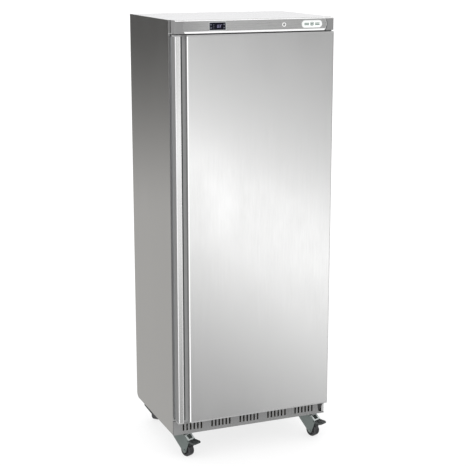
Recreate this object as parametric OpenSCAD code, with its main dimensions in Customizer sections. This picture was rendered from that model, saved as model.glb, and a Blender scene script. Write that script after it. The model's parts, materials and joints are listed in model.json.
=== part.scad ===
// Single-door reach-in refrigerator on castors.
// Millimetres, +Z up, the door faces -Y and the origin is on the floor under the middle of the cabinet.

/* [Cabinet] */
// Width of the cabinet over its side panels
cabinet_w = 777; // [740:1:820]
// Depth of the cabinet body, without the door
body_d = 550; // [540:1:640]
// Height of the cabinet body, without the castors
body_h = 1905; // [1800:1:2000]
// Thickness of the insulation in the cabinet walls
wall_t = 46; // [42:1:50]
// Thickness of the outer sheet metal
sheet_t = 1.2; // [0.8:0.1:1.5]
// Radius of the lower rear corner of the side panels
corner_r = 28; // [20:1:40]

/* [Door] */
// Distance from the front of the body to the face of the door
door_proud = 56; // [54:1:60]
// How far the door and fascia stand in from each side of the body
side_inset = 10; // [8:1:12]
// Height of the lower edge of the door above the base
door_lift = 71; // [70:1:76]
// Distance from the top of the body down to the top of the door
door_drop = 63; // [60:1:66]
// Thickness of the door, without its gasket
door_t = 42; // [40:1:43]

/* [Handle] */
// Width of the gripped strip at the door's left edge
grip_w = 28.5; // [26:0.5:30]
// Width of the finger groove behind the strip
groove_w = 27.5; // [25:0.5:28]
// Depth of the finger groove from the face of the strip
groove_d = 22; // [20:1:24]
// How far the strip stands back from the door face
grip_setback = 5; // [4:0.5:6]

/* [Control panel] */
// Width of the panel between its end caps
fascia_mid_w = 672; // [640:1:680]
// Distance of the controller left of the middle
controller_x = 182; // [150:1:220]
// Distance of the lock right of the middle
lock_x = 133; // [100:1:160]
// Distance of the badge right of the middle
badge_x = 269; // [260:1:280]
// Distance of these three below the top of the body
row_drop = 28; // [27:1:29]

/* [Interior] */
// Number of wire shelves
shelf_count = 4; // [4:1:4]
// Distance between wires of a shelf
wire_pitch = 26; // [22:1:32]
// Depth of the raised floor over the compressor
hump_d = 206; // [200:1:220]
// Height of the raised floor above the base
hump_h = 360; // [340:1:380]

/* [Castors] */
// Overall height of a castor
castor_h = 120; // [118:1:126]
// Diameter of the castor wheels
wheel_d = 60; // [58:1:64]
// Distance from a castor's swivel axis to its wheel axle
trail = 36; // [34:1:38]

/* [Hidden] */

$fn = 48;

// Overall planes of the cabinet
half_w = cabinet_w / 2;
total_d = body_d + door_proud;
y_face = -total_d / 2;
y_front = y_face + door_proud;
y_back = total_d / 2;
y_rear = y_back - 2.5;
z_base = castor_h;
z_top = z_base + body_h;

// Planes of the refrigerated space
foam_gap = 0.2;
liner_t = 1.2;
cav_x = half_w - sheet_t - wall_t;
y_cav_back = y_rear - sheet_t - wall_t;
z_floor = z_base + 116;
z_ceiling = z_top - 103;
y_hump = y_cav_back - hump_d;
z_hump = z_base + hump_h;
breaker_d = 19;
breaker_t = 3;
compartment_top = z_hump - liner_t - wall_t;
compartment_front = y_hump + liner_t + wall_t;

// Door
door_x = half_w - side_inset;
door_z0 = z_base + door_lift;
door_z1 = z_top - door_drop;
door_back = y_face + door_t;
cap_t = 6;
skin_t = 1;
skin_x0 = -door_x + grip_w + groove_w;
bevel_w = 4;
edge_r = 3;
grip_t = 2.5;
grip_r = 2;
grip_lip = 8;
grip_joint = 0.1;
y_grip = y_face + grip_setback;
y_groove = y_grip + groove_d;
gasket_clear = 0.6;
gasket_w = 12;
gasket_inset = 17;
inner_t = 1.2;

// Hinge line of the door
hinge_x = door_x - 20;
hinge_y = y_front - 35;
pin_r = 5;
bush_r = 8;
bush_h = 24;
running = 0.06;
bracket_t = 3;

// Control panel
z_fascia = z_top - 57;
y_panel = y_face + 2;
y_panel_back = y_front - 4;
z_row = z_top - row_drop;
lip = 8;
lip_lean = 0.65;
fascia_half = fascia_mid_w / 2;
fascia_arc_r = 41;
fascia_z_mid = (z_fascia + z_top) / 2;
lens_w = 75;
lens_h = 32;
bezel_w = 80;
bezel_h = 37;
button_w = 6.4;
button_h = 5.6;
button_gap = 0.3;
button_dx = 30;
button_dz = 7;
lock_r = 6;
collar_r = 9;
cam_len = 46;
cam_y = y_face + 21;
cam_t = 3;
badge_w = 101;
badge_h = 33;
bezel_t = 1.5;
badge_t = 1.2;
collar_t = 1.8;

// Castors: place of the swivel axis and heading of the wheel, clockwise from the front
castor_x = 326;
front_castor_y = y_front + 52;
rear_castor_y = y_back - 69;
FRONT_HEADING = 25;
REAR_LEFT_HEADING = 135;
REAR_RIGHT_HEADING = 168;
wheel_w = 32;
axle_r = 4;
king_r = 6;
plate_w = 84;
plate_d = 60;
plate_t = 3;
bolt_dx = 31;
bolt_dy = 20;
bolt_r = 4;
fork_gap = 40;
cheek_t = 2.5;
half_fork = fork_gap / 2;
crown_t = 4;
crown_top = castor_h - 11;
crown_back = 55;
slope_top = [38, crown_top];
slope_end = [64, crown_top - 21];
brake_pivot = [59, crown_top - 27];
brake_r = 7;
brake_w = 46;
brake_travel = 14;
shoe_angle = atan2(brake_pivot[0] - trail, brake_pivot[1] - wheel_d / 2) - brake_travel;
shoe_len = norm([brake_pivot[0] - trail, brake_pivot[1] - wheel_d / 2]) - wheel_d / 2 - 1;

// Kick plate and its slots
kick_z = door_lift - 3;
slot_w = 8;
slot_h = 33;
slot_pitch = 17.8;
slot_z0 = z_base + 17;
group_pitch = 143;

// Box between two opposite corners
module block(lo, hi) {
    translate(lo) cube(hi - lo);
}

// Cylinder along X, Y or Z that starts at a point
module rod_x(p, r, l) {
    translate(p) rotate([0, 90, 0]) cylinder(r = r, h = l);
}
module rod_y(p, r, l) {
    translate(p) rotate([-90, 0, 0]) cylinder(r = r, h = l);
}
module rod_z(p, r, l) {
    translate(p) cylinder(r = r, h = l);
}

// Outline in X and Z given a thickness along +Y from y0
module plate_xz(y0, t) {
    translate([0, y0 + t, 0]) rotate([90, 0, 0]) linear_extrude(t) children();
}

// Outline in Y and Z given a width along +X from x0
module plate_yz(x0, w) {
    translate([x0, 0, 0]) rotate([90, 0, 90]) linear_extrude(w) children();
}

// ---------- Cabinet ----------

module side_outline(y0, y1, z0, z1, r) {
    difference() {
        translate([y0, z0]) square([y1 - y0, z1 - z0]);
        translate([y1 - r, z0 - 1]) square([r + 1, r + 1]);
    }
    intersection() {
        translate([y1 - r, z0 + r]) circle(r);
        translate([y1 - r - 1, z0]) square([r + 1, r]);
    }
}

// Right-hand side panel with its front and rear returns; the left one is its mirror image
module side_panel() {
    flange = 12;
    plate_yz(half_w - sheet_t, sheet_t)
        side_outline(y_front, y_back, z_base, z_top - sheet_t, corner_r);
    block([half_w - flange, y_front, z_base], [half_w - sheet_t, y_front + sheet_t, z_top - sheet_t]);
    block([half_w - flange, y_back - sheet_t, z_base + corner_r],
          [half_w - sheet_t, y_back, z_top - sheet_t]);
}

module left_side_panel() {
    color("darkgray") mirror([1, 0, 0]) side_panel();
}

module right_side_panel() {
    color("darkgray") side_panel();
}

module top_panel() {
    color("gainsboro") {
        block([-half_w, y_front, z_top - sheet_t], [half_w, y_back, z_top]);
        block([-door_x, y_panel - 0.5, z_top - sheet_t], [door_x, y_front, z_top]);
    }
}

module back_panel() {
    flange = 12;
    x = half_w - flange - 0.3;
    color("silver") {
        block([-x, y_rear - sheet_t, compartment_top], [x, y_rear, z_top - sheet_t]);
        block([1 - cav_x, y_rear - 14, compartment_top],
              [cav_x - 1, y_rear - sheet_t, compartment_top + sheet_t]);
    }
}

// Floor of the machine space, with upturned edges and holes for the castor bolts
module base_tray() {
    x = half_w - sheet_t;
    y0 = y_front + 6;
    y1 = y_back - corner_r;
    t = 2;
    color("silver") difference() {
        union() {
            block([-x, y0, z_base], [x, y1, z_base + t]);
            block([-x, y0, z_base], [-x + t, y1, z_base + 20]);
            block([x - t, y0, z_base], [x, y1, z_base + 20]);
            block([-x, y1 - t, z_base], [x, y1, z_base + 20]);
        }
        for (c = castor_places()) translate([c[0], c[1], z_base - 1]) castor_bolt_holes(t + 2);
    }
}

// Stainless face of the body around the door opening
module front_frame() {
    x = half_w - 12;
    color("silver") difference() {
        block([-x, y_front, door_z0 - 3], [x, y_front + sheet_t, z_top - sheet_t]);
        block([-cav_x, y_front - 1, z_floor], [cav_x, y_front + 2, z_ceiling]);
    }
}

// Rigid foam as slabs: two sides, top, back, floor, and the front and top of the raised floor
module cabinet_insulation() {
    g = foam_gap;
    xo = half_w - sheet_t - 0.1;
    xi = cav_x + g;
    yf = y_front + sheet_t + 0.1;
    yb = y_rear - sheet_t - 0.1;
    zb = door_z0 - 3;
    zt = z_top - sheet_t - 0.1;
    color("khaki") {
        block([-xo, yf, zb], [-xi, yb, zt]);
        block([xi, yf, zb], [xo, yb, zt]);
        block([-cav_x, yf, z_ceiling + g], [cav_x, yb, zt]);
        difference() {
            block([-cav_x, y_cav_back + g, compartment_top + sheet_t + g], [cav_x, yb, z_ceiling]);
            line_hole(line_r + 2);
        }
        block([-cav_x, yf, zb], [cav_x, compartment_front, z_floor - g]);
        block([-cav_x, y_hump + g, z_floor], [cav_x, compartment_front, compartment_top - g]);
        block([-cav_x, y_hump + g, compartment_top], [cav_x, y_cav_back, z_hump - g]);
    }
}

module cavity_outline(o) {
    y0 = y_front + breaker_d;
    polygon([
        [y0, z_floor + o], [y_hump - o, z_floor + o], [y_hump - o, z_hump + o],
        [y_cav_back - o, z_hump + o], [y_cav_back - o, z_ceiling - o], [y0, z_ceiling - o]]);
}

// Thin box that lines the refrigerated space, open at the front
module inner_liner() {
    x = cav_x - liner_t;
    color("whitesmoke") difference() {
        plate_yz(-cav_x, 2 * cav_x) cavity_outline(0);
        plate_yz(-x, 2 * x) cavity_outline(liner_t);
        block([-x, y_front, z_floor + liner_t], [x, y_front + breaker_d + 1, z_ceiling - liner_t]);
        line_hole(line_r + 2);
    }
}

// Plastic trim around the inside edge of the door opening
module breaker_frame() {
    x = cav_x - breaker_t;
    color("lightgray") difference() {
        block([-cav_x, y_front, z_floor], [cav_x, y_front + breaker_d, z_ceiling]);
        block([-x, y_front - 1, z_floor + breaker_t],
              [x, y_front + breaker_d + 1, z_ceiling - breaker_t]);
    }
}

// ---------- Shelves ----------

shelf_z0 = z_floor + 324;
shelf_pitch = 310;
upright_y = [y_front + 60, y_cav_back - 60];
upright_z0 = z_hump + 20;
upright_z1 = z_ceiling - 140;
upright_w = 18;
upright_d = 6;
clip_d = 14;
shelf_x = cav_x - liner_t - 9;
shelf_y0 = y_front + breaker_d + 12;
shelf_y1 = y_cav_back - 14;
frame_r = 3.5;
wire_r = 2;
upright_slot_pitch = 40;

function shelf_z(i) = shelf_z0 + i * shelf_pitch;

// Four slotted strips, screwed to the side walls
module shelf_uprights() {
    wall = cav_x - liner_t;
    slots = floor((upright_z1 - upright_z0 - 30) / upright_slot_pitch);
    color("silver") for (side = [-1, 1], y = upright_y) difference() {
        block([min(side * wall, side * (wall - upright_d)), y - upright_w / 2, upright_z0],
              [max(side * wall, side * (wall - upright_d)), y + upright_w / 2, upright_z1]);
        for (k = [0 : slots]) {
            z = upright_z0 + 15 + k * upright_slot_pitch;
            block([side * wall - upright_d - 1, y - 5, z], [side * wall + upright_d + 1, y + 5, z + 4]);
        }
    }
}

// One clip under each corner of each shelf
module shelf_clips() {
    wall = cav_x - liner_t - upright_d;
    color("gray") for (i = [0 : shelf_count - 1], side = [-1, 1], y = upright_y) {
        z = shelf_z(i) - frame_r - 0.2;
        block([min(side * wall, side * (wall - clip_d)), y - 6, z - 2],
              [max(side * wall, side * (wall - clip_d)), y + 6, z]);
        block([min(side * wall, side * (wall - 2)), y - 6, z - 16],
              [max(side * wall, side * (wall - 2)), y + 6, z - 2]);
    }
}

// Wire shelf: a round bar frame, two stiffening bars, and wires from front to back on top
module wire_shelf(i) {
    z = shelf_z(i);
    x = shelf_x - frame_r - 1;
    n = floor((2 * x - wire_pitch) / wire_pitch);
    color("lightgray") {
        for (y = [shelf_y0 + frame_r, shelf_y1 - frame_r]) rod_x([-x, y, z], frame_r, 2 * x);
        for (s = [-1, 1]) rod_y([s * x, shelf_y0 + frame_r, z], frame_r, shelf_y1 - shelf_y0 - 2 * frame_r);
        for (s = [-1, 1], y = [shelf_y0 + frame_r, shelf_y1 - frame_r])
            translate([s * x, y, z]) sphere(frame_r);
        for (t = [0.33, 0.67])
            rod_x([-x, shelf_y0 + t * (shelf_y1 - shelf_y0), z - 1], 2.5, 2 * x);
        for (k = [0 : n])
            rod_y([(k - n / 2) * wire_pitch, shelf_y0 + 2, z + frame_r], wire_r, shelf_y1 - shelf_y0 - 4);
    }
}

module wire_shelf_1() {
    wire_shelf(0);
}

module wire_shelf_2() {
    wire_shelf(1);
}

module wire_shelf_3() {
    wire_shelf(2);
}

module wire_shelf_4() {
    wire_shelf(3);
}

// ---------- Hinges ----------

bracket_gap = 1.5;

module top_hinge_bracket() {
    z0 = door_z1 + bracket_gap;
    color("dimgray") {
        difference() {
            union() {
                block([door_x - 38, hinge_y, z0], [door_x - 2, y_front, z0 + bracket_t]);
                rod_z([hinge_x, hinge_y, z0], 14, bracket_t);
            }
            block([door_x - 0.5, hinge_y - 20, z0 - 1], [door_x + 20, y_front, z0 + 9]);
        }
        block([door_x - 38, y_front - bracket_t, z0], [door_x - 2, y_front, z0 + 46]);
        rod_z([hinge_x, hinge_y, z0 - 20], pin_r, 21);
    }
}

// The lower bracket's slanting arm shows beside the end of the kick plate
module bottom_hinge_bracket() {
    z1 = door_z0 - bracket_gap - 0.5;
    x0 = door_x - 26;
    x1 = door_x + 7;
    color("dimgray") {
        rod_z([hinge_x, hinge_y, z1 - bracket_t], 14, bracket_t);
        block([hinge_x - 6, hinge_y, z1 - bracket_t], [door_x - 1, y_front - 4, z1]);
        block([x0, y_front - 5, z1 - bracket_t], [x1, y_front, z1]);
        plate_xz(y_front - bracket_t, bracket_t)
            polygon([[x0, z1], [x1, z1], [x1, z1 - 16], [x1 - 22, z1 - 54], [x0 + 5, z1 - 54],
                     [x0, z1 - 30]]);
        rod_z([hinge_x, hinge_y, z1 - 1], pin_r, 21);
    }
}

// ---------- Control panel ----------

// Outline of the middle panel in X and Z, with bulging ends
module fascia_outline(z0, z1, grow) {
    cx = fascia_half + 6 - fascia_arc_r;
    translate([-cx, z0]) square([2 * cx, z1 - z0]);
    intersection() {
        translate([-fascia_half - 20, z0]) square([2 * fascia_half + 40, z1 - z0]);
        for (s = [-1, 1]) translate([s * cx, fascia_z_mid]) circle(fascia_arc_r + grow, $fn = 96);
    }
}

// Stainless panel: a flat face, a band along its lower edge that leans back, and a return to the body
module fascia_panel() {
    t = sheet_t;
    z1 = z_top - t - 0.2;
    color("silver") difference() {
        intersection() {
            plate_yz(-fascia_half - 20, 2 * fascia_half + 40) polygon([
                [y_panel, z1], [y_panel, z_fascia + lip], [y_panel + lip_lean, z_fascia],
                [y_panel_back, z_fascia], [y_panel_back, z_fascia + t],
                [y_panel + lip_lean + t, z_fascia + t], [y_panel + t, z_fascia + lip],
                [y_panel + t, z1]]);
            plate_xz(y_panel - 1, door_proud) fascia_outline(z_fascia - 1, z_top, 0);
        }
        block([-controller_x - 36, y_panel - 1, z_row - 15],
              [-controller_x + 36, y_panel + 3, z_row + 15]);
        rod_y([lock_x, y_panel - 1, z_row], lock_r + 1.5, 4);
        block([lock_x - 8, cam_y - 1.5, z_fascia - 1], [lock_x + 42, cam_y + cam_t + 1.5, z_fascia + 3]);
    }
}

// Hollow cap for the right end of the panel, with a rounded outer edge
module fascia_cap() {
    t = 2;
    r = 6;
    x0 = fascia_half - 4;
    z1 = z_top - sheet_t - 0.2;
    color("darkgray") difference() {
        union() {
            block([x0, y_panel, z_fascia], [door_x - r, y_panel_back, z1]);
            block([x0, y_panel + r, z_fascia], [door_x, y_panel_back, z1]);
            rod_z([door_x - r, y_panel + r, z_fascia], r, z1 - z_fascia);
        }
        block([x0 - 1, y_panel + t, z_fascia + t], [door_x - r, y_panel_back + 1, z1 - t]);
        block([x0 - 1, y_panel + r, z_fascia + t], [door_x - t, y_panel_back + 1, z1 - t]);
        rod_z([door_x - r, y_panel + r, z_fascia + t], r - t, z1 - z_fascia - 2 * t);
        plate_xz(y_panel - 1, door_proud) fascia_outline(z_fascia - 2, z_top + 1, 0.3);
    }
}

module fascia_end_caps() {
    fascia_cap();
    mirror([1, 0, 0]) fascia_cap();
}

module rounded_rect(w, h, r) {
    square([w - 2 * r, h], center = true);
    square([w, h - 2 * r], center = true);
    for (x = [-1, 1], z = [-1, 1]) translate([x * (w / 2 - r), z * (h / 2 - r)]) circle(r);
}

module at_controller() {
    translate([-controller_x, 0, z_row]) children();
}

// Bezel in front of the panel and an open-fronted box behind it
module controller_housing() {
    color("dimgray") at_controller() difference() {
        union() {
            plate_xz(y_panel - bezel_t, bezel_t) rounded_rect(bezel_w, bezel_h, 3);
            block([-35.5, y_panel, -14.5], [35.5, y_front - 8, 14.5]);
        }
        block([-lens_w / 2 - 0.2, y_panel - 3, -lens_h / 2 - 0.2],
              [lens_w / 2 + 0.2, y_panel - 0.2, lens_h / 2 + 0.2]);
        block([-33.5, y_panel - 3, -12.5], [33.5, y_front - 10, 12.5]);
    }
}

// Dark window with a pocket for each of the four keys
module controller_lens() {
    g = button_gap;
    color("black") at_controller() difference() {
        plate_xz(y_panel - bezel_t + 0.2, bezel_t - 0.5) rounded_rect(lens_w, lens_h, 2);
        for (x = [-1, 1], z = [-1, 1])
            translate([x * button_dx, 0, z * button_dz])
                block([-button_w / 2 - g, y_panel - 4, -button_h / 2 - g],
                      [button_w / 2 + g, y_panel + 4, button_h / 2 + g]);
    }
}

// Key cap on a stem that runs in the housing
module controller_button(x, z) {
    color("darkslategray") at_controller() translate([x * button_dx, 0, z * button_dz]) {
        plate_xz(y_panel - bezel_t, bezel_t - 0.3) rounded_rect(button_w, button_h, 1.2);
        rod_y([0, y_panel - 0.5, 0], 1.5, 6);
    }
}

module controller_button_1() {
    controller_button(-1, 1);
}

module controller_button_2() {
    controller_button(-1, -1);
}

module controller_button_3() {
    controller_button(1, 1);
}

module controller_button_4() {
    controller_button(1, -1);
}

// Plain plate with round ends
module badge_plate() {
    color("white") translate([badge_x, 0, z_row])
        plate_xz(y_panel - badge_t, badge_t) {
            square([badge_w - badge_h, badge_h], center = true);
            for (s = [-1, 1]) translate([s * (badge_w - badge_h) / 2, 0]) circle(badge_h / 2);
        }
}

// Collar of the lock, with the bore that the barrel turns in
module lock_collar() {
    color("silver") difference() {
        union() {
            rod_y([lock_x, y_panel - collar_t, z_row], collar_r, collar_t);
            rod_y([lock_x, y_panel - 0.1, z_row], lock_r + 1.4, 16);
        }
        rod_y([lock_x, y_panel - 3, z_row], lock_r + running, 20);
    }
}

// Barrel with a keyway, and the cam that drops into the top of the door when it is turned
module lock_barrel() {
    color("gray") difference() {
        union() {
            rod_y([lock_x, y_panel - collar_t + 0.3, z_row], lock_r, cam_y - y_panel + collar_t + 3);
            hull() {
                rod_y([lock_x, cam_y, z_row], lock_r + 1, cam_t);
                rod_y([lock_x + cam_len - 5, cam_y, z_row], 5, cam_t);
            }
        }
        block([lock_x - 0.8, y_panel - 3, z_row - 3.5], [lock_x + 0.8, y_panel + 8, z_row + 3.5]);
    }
}

// ---------- Kick plate and screws ----------

kick_y = y_front - 5;
kick_groups = 5;
kick_slots = 6;

// Louvred plate below the door, its right end cut to clear the lower hinge
module kick_plate() {
    t = sheet_t;
    z1 = z_base + kick_z;
    x1 = half_w - 0.3;
    color("silver") {
        difference() {
            plate_xz(kick_y, t) polygon([
                [-x1, z_base], [x1, z_base], [x1, z_base + 4], [door_x - 14, z_base + 10],
                [door_x - 22, z_base + 15], [door_x - 29, z1], [-x1, z1]]);
            for (k = [0 : kick_groups - 1], i = [0 : kick_slots - 1]) {
                x = (k - (kick_groups - 1) / 2) * group_pitch - 8 + (i - (kick_slots - 1) / 2) * slot_pitch;
                block([x - slot_w / 2, kick_y - 1, slot_z0], [x + slot_w / 2, kick_y + 3, slot_z0 + slot_h]);
            }
        }
        block([-x1, kick_y, z_base], [x1, y_front - 0.2, z_base + t]);
        block([-x1, kick_y, z1 - t], [door_x - 32, y_front - 0.2, z1]);
    }
}

screw_r = 2;

function screw_places() = [
    for (x = [-320, -160, 0, 160, 320], z = [z_base + 44, compartment_top - 14]) [x, z]];

// Pan-head screws of the rear grille, as one group
module panel_screws() {
    color("gray") for (p = screw_places()) {
        rod_y([p[0], y_rear, p[1]], 4, 2);
        rod_y([p[0], y_rear - 10, p[1]], screw_r, 11);
    }
}

// ---------- Cooling system ----------

comp_x = 160;
comp_y = y_back - 118;
comp_r = 75;
comp_z0 = z_base + 20;

module compressor() {
    color("black") {
        translate([comp_x, comp_y, comp_z0]) rotate_extrude($fn = 64) difference() {
            union() {
                translate([0, 30]) square([comp_r, 100]);
                translate([0, 0]) square([comp_r - 30, 160]);
                translate([comp_r - 30, 30]) circle(30);
                translate([comp_r - 30, 130]) circle(30);
                translate([0, 78]) square([comp_r + 4, 5]);
            }
            translate([-100, -50]) square([100, 300]);
        }
        difference() {
            block([comp_x - 95, comp_y - 60, comp_z0 - 3], [comp_x + 95, comp_y + 60, comp_z0 + 4]);
            for (x = [-82, 82], y = [-47, 47]) rod_z([comp_x + x, comp_y + y, comp_z0 - 4], 6.5, 10);
        }
        block([comp_x + comp_r - 12, comp_y - 24, comp_z0 + 50],
              [comp_x + comp_r + 26, comp_y + 24, comp_z0 + 110]);
    }
}

// Rubber feet in the corners of the compressor's base
module compressor_mounts() {
    color("black") for (x = [-82, 82], y = [-47, 47]) {
        rod_z([comp_x + x, comp_y + y, z_base + 2], 11, comp_z0 - z_base - 5);
        rod_z([comp_x + x, comp_y + y, z_base + 2], 6, comp_z0 - z_base + 6);
    }
}

// Block of thin fins on straight tubes with end plates; fins stand across X
module fin_block(lo, hi, fins, rows, cols, tube_r) {
    step = (hi[0] - lo[0] - 2) / (fins - 1);
    for (k = [0 : fins - 1])
        block([lo[0] + k * step, lo[1], lo[2]], [lo[0] + k * step + 1, hi[1], hi[2]]);
    for (r = [0 : rows - 1], c = [0 : cols - 1])
        rod_x([lo[0] - 8, lo[1] + (c + 0.5) * (hi[1] - lo[1]) / cols,
               lo[2] + (r + 0.5) * (hi[2] - lo[2]) / rows], tube_r, hi[0] - lo[0] + 16);
}

// Discharge pipe from the compressor's shell to the condenser's fourth tube
pipe_y = compartment_front + 42;
pipe_z = z_base + 8 + 210 * 3.5 / 6;
pipe_r = 4;
pipe_reach = sqrt(pow(comp_r, 2) - pow(comp_y - pipe_y - pipe_r, 2));

cond_lo = [-300, compartment_front + 12, z_base + 8];
cond_hi = [-90, compartment_front + 52, z_base + 218];

module condenser_coil() {
    color("dimgray") {
        fin_block(cond_lo, cond_hi, 24, 6, 2, 4);
        rod_x([cond_hi[0] + 7, pipe_y, pipe_z], pipe_r, comp_x - pipe_reach - cond_hi[0] - 7.2);
    }
}

fan_x = (cond_lo[0] + cond_hi[0]) / 2;
fan_z = (cond_lo[2] + cond_hi[2]) / 2;
fan_y = cond_hi[1] + 22;
fan_r = 90;

// Square shroud with a round opening, and the motor on a bar behind it
module condenser_fan_frame() {
    color("gray") {
        difference() {
            block([fan_x - 104, fan_y - 18, cond_lo[2]], [fan_x + 104, fan_y - 15, cond_hi[2]]);
            rod_y([fan_x, fan_y - 20, fan_z], fan_r + 4, 8);
        }
        difference() {
            rod_y([fan_x, fan_y - 18, fan_z], fan_r + 6, 36);
            rod_y([fan_x, fan_y - 19, fan_z], fan_r + 4, 38);
        }
        difference() {
            rod_y([fan_x, fan_y + 12, fan_z], 28, 40);
            rod_y([fan_x, fan_y + 11, fan_z], 3 + running, 30);
        }
        block([fan_x - 104, fan_y + 18, fan_z - 8], [fan_x - 26, fan_y + 21, fan_z + 8]);
        block([fan_x + 26, fan_y + 18, fan_z - 8], [fan_x + 104, fan_y + 21, fan_z + 8]);
        block([fan_x - 104, fan_y + 18, cond_lo[2] - 6], [fan_x - 101, fan_y + 36, fan_z + 8]);
        block([fan_x + 101, fan_y + 18, cond_lo[2] - 6], [fan_x + 104, fan_y + 36, fan_z + 8]);
    }
}

// Hub, shaft and flat pitched blades about +Z
module fan_blades(r, n, w, shaft) {
    rod_z([0, 0, -8], r * 0.26, 16);
    rod_z([0, 0, -8], 3, 16 + shaft);
    for (k = [0 : n - 1]) rotate(k * 360 / n) translate([r * 0.2, 0, 0]) rotate([28, 0, 0])
        block([0, -w / 2, -0.75], [r * 0.76, w / 2, 0.75]);
}

module condenser_fan_blade() {
    color("white") translate([fan_x, fan_y, fan_z]) rotate([-90, 0, 0]) fan_blades(fan_r, 5, 44, 22);
}

// Pan for the defrost water, on brackets above the compressor
module drip_tray() {
    z0 = comp_z0 + 166;
    color("dimgray") difference() {
        block([comp_x - 100, comp_y - 76, z0], [comp_x + 100, comp_y + 76, z0 + 34]);
        block([comp_x - 98, comp_y - 74, z0 + 2], [comp_x + 98, comp_y + 74, z0 + 35]);
    }
    color("dimgray") for (s = [-1, 1])
        block([comp_x + s * 92 - 6, comp_y + 62, z_base + 2], [comp_x + s * 92 + 6, comp_y + 64, z0]);
}

evap_x = 290;
evap_y0 = y_cav_back - 262;
evap_y1 = y_cav_back - 4;
evap_z0 = z_ceiling - 112;
evap_fan_x = -130;
evap_fan_y = (evap_y0 + evap_y1) / 2;
evap_fan_r = 76;

// Cover under the ceiling at the back: fan opening with a guard, and an outlet slot row in front
module evaporator_cover() {
    t = 1.5;
    z1 = z_ceiling - liner_t - 0.3;
    color("whitesmoke") {
        difference() {
            block([-evap_x, evap_y0, evap_z0], [evap_x, evap_y1, z1]);
            block([-evap_x + t, evap_y0 + t, evap_z0 + t], [evap_x - t, evap_y1 + 1, z1 + 1]);
            rod_z([evap_fan_x, evap_fan_y, evap_z0 - 1], evap_fan_r + 4, 4);
            for (x = [0 : 22 : 240])
                block([x, evap_y0 - 1, evap_z0 + 24], [x + 12, evap_y0 + 3, z1 - 20]);
        }
        for (r = [18, 38, 58]) difference() {
            rod_z([evap_fan_x, evap_fan_y, evap_z0 - 1], r + 1, 2);
            rod_z([evap_fan_x, evap_fan_y, evap_z0 - 2], r - 1, 4);
        }
        for (s = [0, 1]) translate([evap_fan_x, evap_fan_y, 0]) rotate(45 + 90 * s)
            block([-evap_fan_r - 8, -1.5, evap_z0 - 1], [evap_fan_r + 8, 1.5, evap_z0 + 1]);
        rod_z([evap_fan_x, evap_fan_y, evap_z0 + 46], 24, 40);
        block([evap_fan_x - 14, evap_y0 + 0.5, evap_z0 + 78], [evap_fan_x + 14, evap_y1, evap_z0 + 82]);
    }
}

// Finned coil, with the suction line that runs down through the back wall to the compressor
module evaporator_coil() {
    color("silver") {
        fin_block([-20, evap_y0 + 70, evap_z0 + 16], [evap_x - 24, evap_y1 - 30, z_ceiling - 14],
                  24, 3, 5, 4);
        rod_y([line_x, evap_y1 - 31, line_z1], line_r, line_y - evap_y1 + 31);
        rod_z([line_x, line_y, line_z0], line_r, line_z1 - line_z0);
        rod_y([line_x, comp_y, line_z0], line_r, line_y - comp_y);
        rod_x([line_x, comp_y, line_z0], line_r, comp_x - comp_r - line_x - 0.2);
        for (p = [[line_y, line_z0], [line_y, line_z1], [comp_y, line_z0]])
            translate([line_x, p[0], p[1]]) sphere(line_r + 0.8);
    }
}

// Clearance around the suction line in the back wall
module line_hole(r) {
    rod_z([line_x, line_y, line_z0], r, line_z1 - line_z0 + r);
    rod_y([line_x, y_cav_back - 10, line_z1], r, line_y - y_cav_back + 10);
}

line_r = 4;
line_x = 52;
line_y = y_cav_back + 22;
line_z0 = comp_z0 + 110;
line_z1 = evap_z0 + 50;

module evaporator_fan_blade() {
    color("white") translate([evap_fan_x, evap_fan_y, evap_z0 + 26]) fan_blades(evap_fan_r, 5, 34, 2);
}

// Louvred sheet over the machine space at the back
module rear_grille() {
    x = half_w - 12.3;
    t = sheet_t;
    z0 = z_base + corner_r + 1;
    z1 = compartment_top - 1;
    color("silver") difference() {
        block([-x, y_rear - t, z0], [x, y_rear, z1]);
        for (k = [0 : grille_rows - 1], s = [-1, 0, 1])
            translate([s * 200 - 80, y_rear - 3, z0 + 60 + k * 16]) cube([160, 4, 8]);
        for (p = screw_places()) rod_y([p[0], y_rear - 5, p[1]], screw_r + 0.1, 10);
        rod_y([gland_x, y_rear - 5, gland_z], gland_r + 0.2, 10);
    }
}

grille_rows = 11;
gland_r = 8;
gland_x = 330;
gland_z = z_base + 60;

// Cable gland with a through bore for a power cord
module cord_gland() {
    color("black") difference() {
        union() {
            rod_y([gland_x, y_rear - 24, gland_z], gland_r, 26);
            translate([gland_x, y_rear - nut_t - sheet_t, gland_z]) rotate([-90, 0, 0])
                cylinder(r = 13, h = nut_t, $fn = 6);
            rod_y([gland_x, y_rear, gland_z], 11, 2);
        }
        rod_y([gland_x, y_rear - 30, gland_z], gland_bore_r, 40);
    }
}

nut_t = 6;
gland_bore_r = 4.5;

// ---------- Door ----------

// Plan of the front sheet: flat bevel beside the groove, small radius at the far edge
module skin_plan(i) {
    x0 = skin_x0 + i;
    x1 = door_x - i;
    y0 = y_face + i;
    rb = bevel_w - i * (2 - sqrt(2));
    re = edge_r - i;
    translate([x0, y0 + rb]) square([x1 - x0, door_back - y0 - rb - i]);
    polygon([[x0 + rb, y0], [x1 - re, y0], [x1 - re, y0 + rb + 1], [x0, y0 + rb + 1], [x0, y0 + rb]]);
    translate([x1 - re, y0 + re]) circle(re);
    translate([x1 - re - 1, y0 + re]) square([re + 1, rb]);
}

module door_skin() {
    color("silver") translate([0, 0, door_z0 + cap_t])
        linear_extrude(door_z1 - door_z0 - 2 * cap_t) difference() {
            skin_plan(0);
            skin_plan(skin_t);
            translate([skin_x0 - 1, y_groove + 1]) square([40, door_t]);
            translate([skin_x0 + 5, door_back - 2]) square([door_x - skin_x0 - 18, 4]);
        }
}

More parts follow.
